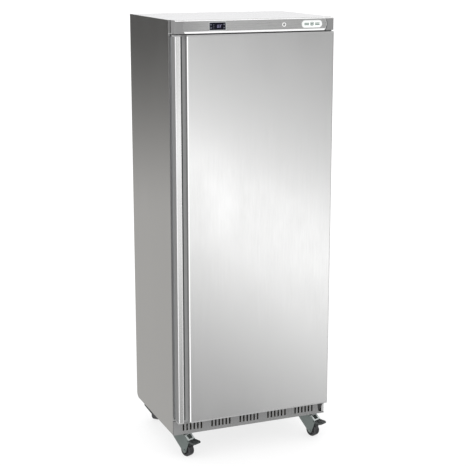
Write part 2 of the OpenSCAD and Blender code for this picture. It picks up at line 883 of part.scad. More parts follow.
module bush_sites() {
    for (z = [door_z0, door_z1 - bush_h]) translate([hinge_x, hinge_y, z]) children();
}

// Foam core behind the front sheet
module door_insulation() {
    i = skin_t + 0.15;
    color("khaki") difference() {
        block([skin_x0 + i, y_face + i, door_z0 + cap_t], [door_x - i, door_back - i, door_z1 - cap_t]);
        for (x = [skin_x0, door_x]) translate([x, y_face, door_z0])
            rotate(45) block([-bevel_w, -bevel_w, 0], [bevel_w, bevel_w, 2000]);
        bush_sites() translate([0, 0, -1]) cylinder(r = bush_r + 0.2, h = bush_h + 2);
        block([lock_x - 10, cam_y - 3, door_z1 - cap_t - 12], [lock_x + 36, cam_y + cam_t + 3, door_z1]);
    }
}

// Plastic inner face with a raised rim inside the gasket
module door_inner_panel() {
    x = door_x - 9;
    xr = cav_x - 18;
    zr0 = z_floor + 16;
    zr1 = z_ceiling - 16;
    color("whitesmoke") difference() {
        union() {
            block([-x, door_back, door_z0 + 9], [x, door_back + inner_t, door_z1 - 9]);
            block([-xr, door_back, zr0], [xr, door_back + 10, zr1]);
        }
        block([-xr + 24, door_back + inner_t, zr0 + 24], [xr - 24, door_back + 12, zr1 - 24]);
    }
}

// Magnetic seal: a narrow foot and a wider tube that meets the body
module door_gasket() {
    xo = door_x - gasket_inset;
    y0 = door_back + inner_t;
    y1 = y_front - gasket_clear;
    z0 = door_z0 + gasket_inset;
    z1 = door_z1 - gasket_inset;
    color("dimgray") {
        gasket_ring(xo - 2, z0 + 2, z1 - 2, gasket_w - 4, y0, y0 + 4);
        gasket_ring(xo, z0, z1, gasket_w, y0 + 3, y1);
    }
}

module gasket_ring(x, z0, z1, w, y0, y1) {
    difference() {
        block([-x, y0, z0], [x, y1, z1]);
        block([-x + w, y0 - 1, z0 + w], [x - w, y1 + 1, z1 - w]);
    }
}

// Plan of the strip that the hand grips, with rounded corners and a lip along its inner edge
module strip_plan() {
    x0 = -door_x;
    x1 = x0 + grip_w;
    r = grip_r;
    intersection() {
        union() {
            translate([x0, y_grip + r]) square([grip_w, r]);
            translate([x0 + r, y_grip]) square([grip_w - 2 * r, r]);
            for (x = [x0 + r, x1 - r]) translate([x, y_grip + r]) circle(r);
        }
        translate([x0, y_grip]) square([grip_w, grip_t]);
    }
    translate([x1 - grip_t, y_grip + r]) square([grip_t, grip_lip - r]);
}

// Plan of the hollow box section that is the floor of the finger groove
module groove_plan() {
    x0 = -door_x + grip_t + grip_joint;
    difference() {
        translate([x0, y_groove]) square([skin_x0 - x0, door_back - y_groove]);
        translate([x0 + grip_t, y_groove + grip_t])
            square([skin_x0 - x0 - 2 * grip_t, door_back - y_groove - 2 * grip_t]);
    }
}

// Side wall, strip and groove section of the grip, which clip together along hairline joints
module handle_profile() {
    y_wall = y_grip + grip_t + grip_joint;
    color("gainsboro") translate([0, 0, door_z0 + cap_t])
        linear_extrude(door_z1 - door_z0 - 2 * cap_t) {
            translate([-door_x, y_wall]) square([grip_t, door_back - y_wall]);
            strip_plan();
            groove_plan();
        }
}

// Plan of the end caps: the whole door less the finger groove
module cap_plan() {
    r = grip_r;
    difference() {
        union() {
            skin_plan(0);
            translate([-door_x, y_grip + r]) square([skin_x0 + door_x + bevel_w + 2, door_back - y_grip - r]);
            translate([-door_x + r, y_grip]) square([grip_w - 2 * r, 2 * r]);
            for (x = [-door_x + r, -door_x + grip_w - r]) translate([x, y_grip + r]) circle(r);
        }
        translate([-door_x + grip_w, y_grip - 1]) square([groove_w, groove_d + 1]);
        translate([-door_x + grip_t, y_grip + grip_lip])
            square([grip_w + groove_w - grip_t, groove_d - grip_lip]);
    }
}

// Caps that close the door at top and bottom; the upper one has the lock's slot
module door_end_caps() {
    color("darkgray") difference() {
        for (z = [door_z0, door_z1 - cap_t]) translate([0, 0, z]) linear_extrude(cap_t) cap_plan();
        bush_sites() translate([0, 0, -1]) cylinder(r = bush_r, h = bush_h + 2);
        block([lock_x - 8, cam_y - 1.5, door_z1 - cap_t - 1],
              [lock_x + 40, cam_y + cam_t + 1.5, door_z1 + 1]);
    }
}

// Bushes that the hinge pins turn in
module hinge_bushes() {
    color("white") bush_sites() difference() {
        cylinder(r = bush_r, h = bush_h);
        translate([0, 0, -1]) cylinder(r = pin_r + running, h = bush_h + 2);
    }
}

// ---------- Castors ----------

function castor_places() = [
    [-castor_x, front_castor_y, FRONT_HEADING], [castor_x, front_castor_y, FRONT_HEADING],
    [-castor_x, rear_castor_y, REAR_LEFT_HEADING], [castor_x, rear_castor_y, REAR_RIGHT_HEADING]];

module castor_bolt_holes(h) {
    for (x = [-bolt_dx, bolt_dx], y = [-bolt_dy, bolt_dy])
        translate([x, y, 0]) cylinder(r = bolt_r + 0.3, h = h);
}

// Mounting plate, swivel head and riveted king pin
module castor_plate() {
    z0 = z_base - plate_t;
    difference() {
        translate([0, 0, z0]) linear_extrude(plate_t) rounded_rect(plate_w, plate_d, 6);
        translate([0, 0, z0 - 1]) castor_bolt_holes(plate_t + 2);
    }
    rod_z([0, 0, crown_top + 0.5], 22, z0 - crown_top);
    rod_z([0, 0, crown_top - crown_t - 4], king_r, crown_t + 6);
    rod_z([0, 0, crown_top - crown_t - 4.5], 10, 4);
}

module castor_plates() {
    color("lightslategray") for (c = castor_places()) translate([c[0], c[1], 0]) castor_plate();
}

// Bolts through the plate and the base tray
module castor_bolts() {
    color("gray") for (c = castor_places(), x = [-1, 1], y = [-1, 1])
        translate([c[0] + x * bolt_dx, c[1] + y * bolt_dy, 0]) {
            translate([0, 0, z_base - plate_t - 4]) cylinder(r = 7, h = 4, $fn = 6);
            rod_z([0, 0, z_base - plate_t - 1], bolt_r, plate_t + 12);
            translate([0, 0, z_base + 2]) cylinder(r = 7, h = 5, $fn = 6);
        }
}

module at_castor(k) {
    c = castor_places()[k];
    translate([c[0], c[1], 0]) rotate(c[2] - 90) children();
}

// Side of the fork in X and Z, with +X towards the wheel
module cheek_outline(braked) {
    front = braked ? slope_top[0] : crown_back;
    hull() {
        translate([-crown_back, crown_top - 6]) square([front + crown_back, 6]);
        if (braked) translate(brake_pivot) circle(brake_r);
        translate([trail, wheel_d / 2]) circle(11);
    }
}

// Sloping front of a braked fork, with a square window
module fork_window() {
    run = slope_end - slope_top;
    margin = 6;
    length = norm(run);
    translate([slope_top[0], 0, slope_top[1]]) rotate([0, atan2(-run[1], run[0]), 0]) difference() {
        block([0, -half_fork - 1, -cheek_t], [length, half_fork + 1, 0]);
        block([margin - 2, margin - half_fork, -cheek_t - 1], [length - margin, half_fork - margin, 1]);
    }
}

// Pressed fork with a riveted axle and a spacer on each side of the wheel
module fork(k) {
    braked = k < 2;
    z_axle = wheel_d / 2;
    outer = half_fork + cheek_t;
    color("slategray") at_castor(k) {
        difference() {
            block([-crown_back, -outer, crown_top - crown_t],
                  [braked ? slope_top[0] : crown_back, outer, crown_top]);
            rod_z([0, 0, crown_top - 20], king_r + running, 40);
        }
        for (s = [-1, 1]) difference() {
            plate_xz(s * (half_fork + cheek_t / 2) - cheek_t / 2, cheek_t) cheek_outline(braked);
            if (braked) rod_y([brake_pivot[0], -outer - 1, brake_pivot[1]], 2.5 + running, 2 * outer + 2);
        }
        rod_y([trail, -outer - 3, z_axle], axle_r, 2 * outer + 6);
        for (s = [-1, 1]) {
            rod_y([trail, s * (outer + 1.5) - 1.5, z_axle], 7, 3);
            rod_y([trail, s * (half_fork - 1.8) - 1.8, z_axle], 8, 3.6);
        }
        if (braked) fork_window();
    }
}

module front_left_fork() {
    fork(0);
}

module front_right_fork() {
    fork(1);
}

module rear_left_fork() {
    fork(2);
}

module rear_right_fork() {
    fork(3);
}

// Wheel: rubber tread with rounded shoulders on a hub, and a bore for the axle
module wheel(k) {
    r = wheel_d / 2;
    bore_r = axle_r + running;
    shoulder = 5;
    color("dimgray") at_castor(k) translate([trail, 0, r]) rotate([90, 0, 0]) rotate_extrude($fn = 64)
        difference() {
            union() {
                translate([bore_r, -wheel_w / 2]) square([r - bore_r - shoulder, wheel_w]);
                translate([bore_r, shoulder - wheel_w / 2]) square([r - bore_r, wheel_w - 2 * shoulder]);
                for (s = [-1, 1]) translate([r - shoulder, s * (wheel_w / 2 - shoulder)]) circle(shoulder);
            }
            for (s = [-1, 1]) translate([axle_r + 7, s * wheel_w / 2 - 2]) square([8, 4]);
        }
}

module front_left_wheel() {
    wheel(0);
}

module front_right_wheel() {
    wheel(1);
}

module rear_left_wheel() {
    wheel(2);
}

module rear_right_wheel() {
    wheel(3);
}

// Foot lever with a pivot tube, a ribbed tread and a shoe over the wheel
module brake(k) {
    px = brake_pivot[0];
    pz = brake_pivot[1];
    w = brake_w / 2;
    reach = 45;
    color("darkslategray") at_castor(k) {
        rod_y([px, -half_fork - cheek_t - 1, pz], 2.5, fork_gap + 2 * cheek_t + 2);
        rod_y([px, 1 - half_fork, pz], 5, fork_gap - 2);
        intersection() {
            plate_xz(-w, brake_w) polygon([
                [px, pz + 3], [px + 9, pz + 3], [px + reach, pz + 1], [px + reach, pz - 5],
                [px + reach - 6, pz - 7], [px + 8, pz - 5], [px, pz - 4]]);
            union() {
                block([px - 10, 2 - half_fork, 0], [px + 8, half_fork - 2, castor_h]);
                block([px + 8, -w, 0], [px + reach - 8, w, castor_h]);
                block([px + 8, 8 - w, 0], [px + reach, w - 8, castor_h]);
                for (s = [-1, 1]) rod_z([px + reach - 8, s * (w - 8), 0], 8, castor_h);
            }
        }
        translate([px, 0, pz]) rotate([0, shoe_angle, 0]) block([-4, -11, -shoe_len], [4, 11, 0]);
        for (i = [0 : 4]) {
            x = px + 12 + i * 6;
            block([x, 3 - w, pz - 2], [x + 2, w - 3, pz + 5]);
        }
    }
}

module front_left_brake() {
    brake(0);
}

module front_right_brake() {
    brake(1);
}

left_side_panel();
right_side_panel();
top_panel();
back_panel();
base_tray();
front_frame();
cabinet_insulation();
inner_liner();
breaker_frame();
shelf_uprights();
shelf_clips();
wire_shelf_1();
wire_shelf_2();
wire_shelf_3();
wire_shelf_4();
top_hinge_bracket();
bottom_hinge_bracket();
fascia_panel();
fascia_end_caps();
controller_housing();
controller_lens();
controller_button_1();
controller_button_2();
controller_button_3();
controller_button_4();
badge_plate();
lock_collar();
lock_barrel();
kick_plate();
panel_screws();
compressor();
compressor_mounts();
condenser_coil();
condenser_fan_frame();
condenser_fan_blade();
drip_tray();
evaporator_cover();
evaporator_coil();
evaporator_fan_blade();
rear_grille();
cord_gland();
door_skin();
door_insulation();
door_inner_panel();
door_gasket();
handle_profile();
door_end_caps();
hinge_bushes();
castor_plates();
castor_bolts();
front_left_fork();
front_right_fork();
rear_left_fork();
rear_right_fork();
front_left_wheel();
front_right_wheel();
rear_left_wheel();
rear_right_wheel();
front_left_brake();
front_right_brake();
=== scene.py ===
import json
import math

import bmesh
import bpy
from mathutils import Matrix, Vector


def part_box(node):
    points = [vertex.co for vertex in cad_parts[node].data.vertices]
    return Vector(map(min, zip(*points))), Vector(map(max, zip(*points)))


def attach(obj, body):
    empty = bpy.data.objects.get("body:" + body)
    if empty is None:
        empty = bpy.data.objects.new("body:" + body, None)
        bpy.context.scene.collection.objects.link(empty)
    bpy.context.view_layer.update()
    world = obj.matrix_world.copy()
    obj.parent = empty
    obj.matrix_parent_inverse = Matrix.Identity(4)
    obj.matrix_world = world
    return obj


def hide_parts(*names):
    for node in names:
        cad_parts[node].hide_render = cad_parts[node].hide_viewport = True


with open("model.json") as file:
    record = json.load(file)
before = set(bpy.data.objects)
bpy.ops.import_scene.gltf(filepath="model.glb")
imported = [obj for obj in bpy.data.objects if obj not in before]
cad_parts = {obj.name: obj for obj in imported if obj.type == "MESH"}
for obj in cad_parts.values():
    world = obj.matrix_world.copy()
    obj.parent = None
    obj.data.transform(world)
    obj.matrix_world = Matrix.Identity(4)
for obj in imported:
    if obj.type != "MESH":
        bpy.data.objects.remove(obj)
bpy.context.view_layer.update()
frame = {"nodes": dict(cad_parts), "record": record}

MM = 0.001
TINY = 1e-6
NODES = frame["nodes"]
JOINTS = {joint["name"]: joint for joint in frame["record"]["behaviour"]["joints"]}
SCENE = bpy.context.scene
SCENE.view_settings.view_transform = "Standard"

# Camera: place and aim in metres and degrees, azimuth 0 looking along +Y
CAMERA_PLACE = Vector((-2.093, -5.207, 2.317))
CAMERA_AZIMUTH = -22.01
CAMERA_ELEVATION = 13.22
LENS = 93.06
SENSOR = 36

# Studio
FLOOR_SIZE = 400
BACKGROUND = (1, 1, 1, 1)


FLOOR_GREY = 0.25
FLOOR_GLOW = 0.72

# Shape
# Largest angle in degrees between faces that shade as one smooth surface
SMOOTH_BELOW = 35
# Top and end of the sloping front of a fork: distance ahead of the swivel and height, in millimetres
SLOPE_TOP = (38, 109)
SLOPE_END = (64, 88)
# Depth of the liner's raised floor and its height over the low floor
STEP_DEPTH = 206 * MM
STEP_HEIGHT = 244 * MM


# ---------- Camera, studio and light ----------

def make_camera():
    """Long lens from the front left, a little above the top of the cabinet."""
    data = bpy.data.cameras.new("camera")
    data.lens = LENS
    data.sensor_width = SENSOR
    data.clip_end = 2 * FLOOR_SIZE
    camera = bpy.data.objects.new("camera", data)
    azimuth = math.radians(CAMERA_AZIMUTH)
    elevation = math.radians(CAMERA_ELEVATION)
    back = Vector((math.sin(azimuth) * math.cos(elevation), -math.cos(azimuth) * math.cos(elevation),
                   math.sin(elevation)))
    camera.rotation_euler = (-back).to_track_quat("-Z", "Y").to_euler()
    camera.location = CAMERA_PLACE
    SCENE.collection.objects.link(camera)
    SCENE.camera = camera


class Graph:
    """Node tree of a material or a world, with a short call for each kind of node used."""

    def __init__(self, tree):
        self.tree = tree

    def node(self, kind, inputs=(), **settings):
        made = self.tree.nodes.new("ShaderNode" + kind)
        for name, value in settings.items():
            setattr(made, name, value)
        for key, value in dict(inputs).items():
            if isinstance(value, bpy.types.NodeSocket):
                self.tree.links.new(value, made.inputs[key])
            else:
                made.inputs[key].default_value = value
        return made

    def math(self, operation, a, b=0.0, clamp=False):
        return self.node("Math", {0: a, 1: b}, operation=operation, use_clamp=clamp).outputs[0]

    def spread(self, value, low, high, to_low=0.0, to_high=1.0):
        """Maps low..high to to_low..to_high smoothly, held at both ends."""
        made = self.node("MapRange", {"Value": value, "From Min": low, "From Max": high,
                                      "To Min": to_low, "To Max": to_high})
        made.interpolation_type = "SMOOTHSTEP"
        return made.outputs["Result"]

    def ramp(self, value, stops, low=0.0, high=1.0):
        """Grey level or colour along stops of (position, level), where positions run from low to high."""
        scaled = self.node("MapRange", {"Value": value, "From Min": low, "From Max": high}).outputs["Result"]
        made = self.node("ValToRGB", {"Fac": scaled})
        band = made.color_ramp
        while len(band.elements) < len(stops):
            band.elements.new(0.5)
        for element, (position, level) in zip(band.elements, stops):
            element.position = (position - low) / (high - low)
            element.color = (level, level, level, 1) if isinstance(level, (int, float)) else (*level, 1)
        return made.outputs["Color"]

    def mix(self, factor, a, b):
        made = self.node("Mix", {0: factor}, data_type="RGBA")
        for index, value in ((6, a), (7, b)):
            if isinstance(value, bpy.types.NodeSocket):
                self.tree.links.new(value, made.inputs[index])
            else:
                made.inputs[index].default_value = value if len(value) == 4 else (*value, 1)
        return made.outputs[2]


# Radiance of the studio over the front, by how far a direction lies below the softbox's sloping edge
FRONT_EDGE = (0.474, 0.015, 0.880)
FRONT_LIGHT = [(-0.16, 0.54), (-0.12, 0.66), (-0.09, 0.81), (-0.055, 1.00), (-0.025, 1.16), (-0.008, 1.45),
               (0.008, 1.90), (0.03, 1.78), (0.056, 1.48), (0.087, 1.165), (0.118, 0.925), (0.147, 0.74),
               (0.187, 0.46), (0.26, 0.40), (0.34, 0.62), (0.48, 0.80), (0.70, 0.92), (0.90, 0.92)]
# Radiance over the back, by height of the direction, and its tint near the horizon
BACK_LIGHT = [(-1.0, 0.56), (-0.20, 0.54), (-0.17, 0.43), (-0.12, 0.245), (-0.07, 0.128), (-0.02, 0.105),
              (0.015, 0.26), (0.06, 1.08), (0.28, 1.15), (0.42, 1.35), (1.0, 1.30)]
WARM = (1.0, 0.985, 0.955)
NEUTRAL = (0.99, 0.99, 1.0)
CEILING = (1.5, 1.5, 1.5)
RIGHT_FLAG = (0.12, 0.12, 0.12)
LEFT_STRIP = (1.9, 1.9, 1.9)
# Where one part of the studio gives way to the next, in components of the direction
CEILING_FROM, CEILING_FULL = 0.0, 0.25
STRIP_FROM, STRIP_FULL = -0.6, -0.8
FRONT_END, BACK_START = -0.3, 0.3
FLAG_FROM, FLAG_FULL = 0.55, 0.75
FLAG_TOP, FLAG_TOP_FULL = 0.25, 0.05


def make_light():
    """Soft light all round: softboxes in front and on the left, a dark horizon and a bright ceiling."""
    world = bpy.data.worlds.new("studio")
    world.use_nodes = True
    SCENE.world = world
    graph = Graph(world.node_tree)
    background = world.node_tree.nodes["Background"]
    direction = graph.node("TexCoord").outputs["Generated"]
    parts = graph.node("SeparateXYZ", {0: direction}).outputs
    edge = graph.node("VectorMath", {0: direction, 1: FRONT_EDGE}, operation="DOT_PRODUCT").outputs["Value"]
    below = graph.math("MULTIPLY", edge, -1.0)
    low, high = FRONT_LIGHT[0][0], FRONT_LIGHT[-1][0]
    front = graph.ramp(below, FRONT_LIGHT, low, high)
    back = graph.ramp(parts["Z"], [(height, tuple(level * part for part in (WARM if height < 0 else NEUTRAL)))
                                   for height, level in BACK_LIGHT], -1.0, 1.0)
    ceiling = graph.spread(parts["Z"], CEILING_FROM, CEILING_FULL)
    front = graph.mix(ceiling, front, CEILING)
    front = graph.mix(graph.spread(parts["X"], STRIP_FROM, STRIP_FULL), front, LEFT_STRIP)
    behind = graph.spread(parts["Y"], FRONT_END, BACK_START)
    light = graph.mix(behind, front, back)
    beside = graph.math("MULTIPLY", graph.spread(parts["X"], FLAG_FROM, FLAG_FULL),
                        graph.spread(parts["Z"], FLAG_TOP, FLAG_TOP_FULL))
    light = graph.mix(beside, light, RIGHT_FLAG)
    seen = graph.node("LightPath").outputs["Is Camera Ray"]
    light = graph.mix(seen, light, BACKGROUND)
    world.node_tree.links.new(light, background.inputs["Color"])


def make_floor():
    """Wide pale floor that glossy surfaces don't mirror."""
    mesh = bpy.data.meshes.new("floor")
    half = FLOOR_SIZE / 2
    corners = [(-half, -half, 0), (half, -half, 0), (half, half, 0), (-half, half, 0)]
    mesh.from_pydata(corners, [], [(0, 1, 2, 3)])
    floor = bpy.data.objects.new("floor", mesh)
    SCENE.collection.objects.link(floor)
    material = bpy.data.materials.new("floor")
    material.use_nodes = True
    surface = material.node_tree.nodes["Principled BSDF"]
    surface.inputs["Base Color"].default_value = (FLOOR_GREY, FLOOR_GREY, FLOOR_GREY, 1)
    surface.inputs["Roughness"].default_value = 0.9
    surface.inputs["Emission Color"].default_value = (1, 1, 1, 1)
    surface.inputs["Emission Strength"].default_value = FLOOR_GLOW
    mesh.materials.append(material)
    floor.visible_glossy = False


# ---------- Finishes ----------

class Finish(Graph):
    """A material: constants set on the shader's own sockets, and patterns in the part's own metres."""

    def __init__(self, name, color, roughness, metallic=0.0, **sockets):
        self.material = bpy.data.materials.new(name)
        self.material.use_nodes = True
        super().__init__(self.material.node_tree)
        self.surface = self.tree.nodes["Principled BSDF"]
        self.surface.inputs["Base Color"].default_value = (*color, 1)
        self.surface.inputs["Roughness"].default_value = roughness
        self.surface.inputs["Metallic"].default_value = metallic
        for key, value in sockets.items():
            self.surface.inputs[key.replace("_", " ")].default_value = value
        self.where = self.node("TexCoord").outputs["Object"]
        self.height = None

    def noise(self, scale, stretch=(1, 1, 1), detail=2.0):
        """Noise with scale features per metre, drawn out along the axes whose stretch is small."""
        placed = self.node("Mapping", {"Vector": self.where, "Scale": stretch}).outputs["Vector"]
        return self.node("TexNoise", {"Vector": placed, "Scale": scale, "Detail": detail}).outputs["Fac"]

    def color(self, factor, a, b):
        self.tree.links.new(self.mix(factor, a, b), self.surface.inputs["Base Color"])

    def color_from(self, socket):
        self.tree.links.new(socket, self.surface.inputs["Base Color"])

    def roughness(self, factor, low, high):
        self.tree.links.new(self.spread(factor, 0.3, 0.7, low, high), self.surface.inputs["Roughness"])

    def bump(self, factor, depth, strength=1.0):
        """Adds relief of the given depth in metres to the surface."""
        made = self.node("Bump", {"Height": factor, "Distance": depth, "Strength": strength})
        if self.height is not None:
            self.tree.links.new(self.height, made.inputs["Normal"])
        self.height = made.outputs["Normal"]
        self.tree.links.new(self.height, self.surface.inputs["Normal"])


def brushed_steel(name, along, tone=0.62, base_roughness=0.15):
    """Stainless sheet with a fine grain along one axis, and faint broad smears from wiping."""
    made = Finish(name, (tone, tone, tone * 0.995), base_roughness, metallic=1.0)
    stretch = [1.0, 1.0, 1.0]
    stretch["XYZ".index(along)] = 0.012
    grain = made.noise(1400, stretch)
    hair = made.noise(420, stretch, detail=3)
    smear = made.noise(5, (1, 1, 0.6))
    light = tone * 1.03
    dark = tone * 0.96
    made.color(hair, (dark, dark, dark * 0.995), (light, light, light * 0.998))
    worn = made.math("ADD", made.math("MULTIPLY", grain, 0.5), made.math("MULTIPLY", smear, 0.5))
    made.roughness(worn, base_roughness - 0.03, base_roughness + 0.04)
    made.bump(grain, 4e-6, 0.4)
    return made.material


def fascia_sheet():
    """Brushed steel with the grain across, with painted shade making it a little darker towards its left end.
    """
    low, high = corners_of("fascia_panel")
    made = Finish("steel_fascia", (0.46, 0.46, 0.46), 0.28, metallic=1.0)
    place = made.node("SeparateXYZ", {0: made.where}).outputs["X"]
    painted_shade_end = made.spread(place, low.x, low.x + 160 * MM)
    hair = made.noise(420, (0.012, 1.0, 1.0), detail=3)
    sheet = made.mix(hair, (0.44, 0.44, 0.438), (0.475, 0.475, 0.473))
    # Painted shade: the sheet's colour blends to a darker grey near its left end
    made.color_from(made.mix(painted_shade_end, (0.35, 0.35, 0.35), sheet))
    made.roughness(hair, 0.25, 0.32)
    made.bump(made.noise(1400, (0.012, 1.0, 1.0)), 4e-6, 0.4)
    return made.material


def simple(name, color, roughness, metallic=0.0, **sockets):
    """One even colour and gloss."""
    made = Finish(name, color, roughness, metallic, **sockets)
    return made.material


def glowing(name, color, strength):
    """Thin plastic lit evenly from behind."""
    made = Finish(name, color, 0.5)
    made.surface.inputs["Emission Color"].default_value = (*color, 1)
    made.surface.inputs["Emission Strength"].default_value = strength
    made.bump(made.noise(2000), 1e-6, 0.2)
    return made.material


def galvanised():
    """Zinc-coated sheet with dull spangles."""
    made = Finish("galvanised", (0.55, 0.56, 0.57), 0.4, metallic=1.0)
    cells = made.node("TexVoronoi", {"Vector": made.where, "Scale": 90.0})
    tone = made.node("SeparateColor", {"Color": cells.outputs["Color"]}).outputs["Red"]
    cloud = made.noise(8)
    made.color(tone, (0.46, 0.47, 0.48), (0.60, 0.61, 0.62))
    made.roughness(cloud, 0.34, 0.50)
    made.bump(tone, 2e-5, 0.3)
    return made.material


def moulded(name, color, roughness, grain=2600, depth=3e-5, shift=0.12, **sockets):
    """Plastic or paint with a fine moulded grain and slightly uneven colour and gloss."""
    made = Finish(name, color, roughness, **sockets)
    cloud = made.noise(9, detail=3)
    fine = made.noise(grain, detail=1)
    darker = tuple(c * (1 - shift) for c in color)
    lighter = tuple(min(1.0, c * (1 + shift * 0.5)) for c in color)
    made.color(cloud, darker, lighter)
    made.roughness(cloud, roughness * 0.88, min(1.0, roughness * 1.12))
    made.bump(fine, depth, 0.5)
    return made.material


def make_finishes():
    return {
        "steel_upright": brushed_steel("steel_upright", "Z"),
        "steel_fascia": fascia_sheet(),
        "kick_grey": moulded("kick_grey", (0.25, 0.25, 0.25), 0.42, grain=1500, shift=0.06, metallic=0.35),
        "steel_trim": brushed_steel("steel_trim", "X", tone=0.92, base_roughness=0.25),
        "galvanised": galvanised(),
        "foam": moulded("foam", (0.86, 0.80, 0.58), 0.9, grain=900, depth=4e-4),
        "white_plastic": moulded("white_plastic", (0.80, 0.81, 0.81), 0.35, grain=700, depth=1.5e-5,
                                 shift=0.03),
        "grey_plastic": moulded("grey_plastic", (0.30, 0.30, 0.30), 0.38, shift=0.05),
        "dark_plastic": moulded("dark_plastic", (0.045, 0.05, 0.05), 0.5),
        "grip_aluminium": brushed_steel("grip_aluminium", "Z", tone=0.64, base_roughness=0.2),
        "gasket_rubber": moulded("gasket_rubber", (0.28, 0.285, 0.29), 0.6, grain=1800),
        "display_glass": moulded("display_glass", (0.004, 0.004, 0.009), 0.16, grain=500, depth=1e-6,
                                 Specular_IOR_Level=0.12),
        "light_grey_plastic": moulded("light_grey_plastic", (0.50, 0.51, 0.52), 0.4, shift=0.04),
        "lit_segment": glowing("lit_segment", (0.30, 0.28, 0.44), 0.2),
        "printed_grey": moulded("printed_grey", (0.42, 0.44, 0.50), 0.5, shift=0.05),
        "badge_green": moulded("badge_green", (0.03, 0.10, 0.07), 0.3, shift=0.08),
        "channel_grey": moulded("channel_grey", (0.33, 0.33, 0.33), 0.5, grain=900, shift=0.04),
        "wall_grey": moulded("wall_grey", (0.17, 0.17, 0.17), 0.5, grain=900, shift=0.04),
        # Lock collar: non-metallic near-white plastic, a painted highlight standing in for the chrome's
        # bright reflection
        "collar_painted_highlight": moulded("collar_painted_highlight", (0.90, 0.90, 0.90), 0.3, grain=300, depth=2e-6, shift=0.01),
        "steel_top": brushed_steel("steel_top", "X", tone=0.66, base_roughness=0.2),
        "cap_grey": moulded("cap_grey", (0.21, 0.21, 0.21), 0.4, shift=0.05),
        # Door end caps: a lighter copy of the caps' grey, painting the bright lines along the door's top and
        # bottom edges
        "cap_painted_highlight": moulded("cap_painted_highlight", (0.34, 0.34, 0.34), 0.4, shift=0.05),
        # Near-white plastic that paints the highlights on the fascia's leaning band and on the grip's edge
        # bead
        "trim_painted_highlight": moulded("trim_painted_highlight", (0.86, 0.86, 0.86), 0.3, grain=300, depth=2e-6, shift=0.02),
        "seam_dark": moulded("seam_dark", (0.03, 0.03, 0.03), 0.5, shift=0.05),
        # Zinc far lighter than the fork's own: a painted highlight on the window's folded rim
        "rim_painted_highlight": moulded("rim_painted_highlight", (0.60, 0.64, 0.63), 0.4, grain=900, metallic=0.2),
        "lock_steel": brushed_steel("lock_steel", "X", tone=0.40, base_roughness=0.35),
        "wheel_nylon": moulded("wheel_nylon", (0.045, 0.046, 0.048), 0.45, grain=1200),
        "key_plastic": moulded("key_plastic", (0.06, 0.065, 0.09), 0.4),
        "badge_white": moulded("badge_white", (0.86, 0.87, 0.86), 0.25, grain=300, depth=2e-6, shift=0.02),
        "chrome": simple("chrome", (0.78, 0.78, 0.78), 0.08, 1.0),
        "shelf_wire": brushed_steel("shelf_wire", "Y", tone=0.68, base_roughness=0.24),
        "bracket_zinc": moulded("bracket_zinc", (0.17, 0.18, 0.18), 0.42, metallic=0.6),
        "black_paint": moulded("black_paint", (0.02, 0.02, 0.02), 0.35),
        "coil_aluminium": brushed_steel("coil_aluminium", "Z", tone=0.66, base_roughness=0.3),
        "castor_zinc": moulded("castor_zinc", (0.165, 0.19, 0.183), 0.42, grain=900, metallic=0.5),
        "tread_rubber": moulded("tread_rubber", (0.028, 0.028, 0.03), 0.5, grain=1500, depth=6e-5),
    }


# Nodes that differ from their slot's usual finish
SPECIAL_FINISH = {"fascia_panel": "steel_fascia", "controller_housing": "light_grey_plastic",
                  "lock_barrel": "lock_steel", "kick_plate": "kick_grey", "fascia_end_caps": "cap_grey",
                  "door_end_caps": "cap_painted_highlight", "lock_collar": "collar_painted_highlight",
                  "top_panel": "steel_top", "bottom_hinge_bracket": "black_paint"}


def dress_cad_nodes(finishes):
    """Gives every CAD node the finish of its material slot; steel grain runs along the sheet."""
    slots = {part["node"]: part["material_slot"] for part in frame["record"]["subparts"]}
    for name, node in NODES.items():
        slot = slots[name]
        if slot == "stainless":
            slot = "steel_upright"
        node.data.materials[0] = finishes[SPECIAL_FINISH.get(name, slot)]


# ---------- Mesh building ----------

def corners_of(node):
    """Lowest and highest corners of a CAD node at rest."""
    low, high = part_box(node)
    return Vector(low), Vector(high)


def rounded(corners, steps=6):
    """Outline through corners (u, v, radius), with each corner that has a radius turned into an arc."""
    points = []
    for index, (u, v, radius) in enumerate(corners):
        here = Vector((u, v))
        if radius == 0:
            points.append(here)
            continue
        back = (Vector(corners[index - 1][:2]) - here).normalized()
        ahead = (Vector(corners[(index + 1) % len(corners)][:2]) - here).normalized()
        half = back.angle(ahead) / 2
        centre = here + (back + ahead).normalized() * radius / math.sin(half)
        start = here + back * radius / math.tan(half) - centre
        end = here + ahead * radius / math.tan(half) - centre
        angle = math.atan2(start.y, start.x)
        turn = (math.atan2(end.y, end.x) - angle + math.pi) % (2 * math.pi) - math.pi
        for k in range(steps + 1):
            here = angle + turn * k / steps
            points.append(centre + radius * Vector((math.cos(here), math.sin(here))))
    return points


def circle(u, v, radius, steps=32):
    """Outline of a circle about u, v."""
    turns = [2 * math.pi * k / steps for k in range(steps)]
    return [Vector((u + radius * math.cos(turn), v + radius * math.sin(turn))) for turn in turns]


def along_x(u, v, w):
    """Point of an outline in Y and Z that is drawn out along X; along_y and along_z do the same."""
    return Vector((w, u, v))


def along_y(u, v, w):
    return Vector((u, w, v))


def along_z(u, v, w):
    return Vector((u, v, w))


def skin_rings(shape, rings, closed=False):
    """Faces between rings of vertices; closed joins the last ring to the first."""
    count = len(rings[0])
    pairs = list(zip(rings, rings[1:])) + ([(rings[-1], rings[0])] if closed else [])
    for one, other in pairs:
        for k in range(count):
            shape.faces.new((one[k], one[(k + 1) % count], other[(k + 1) % count], other[k]))


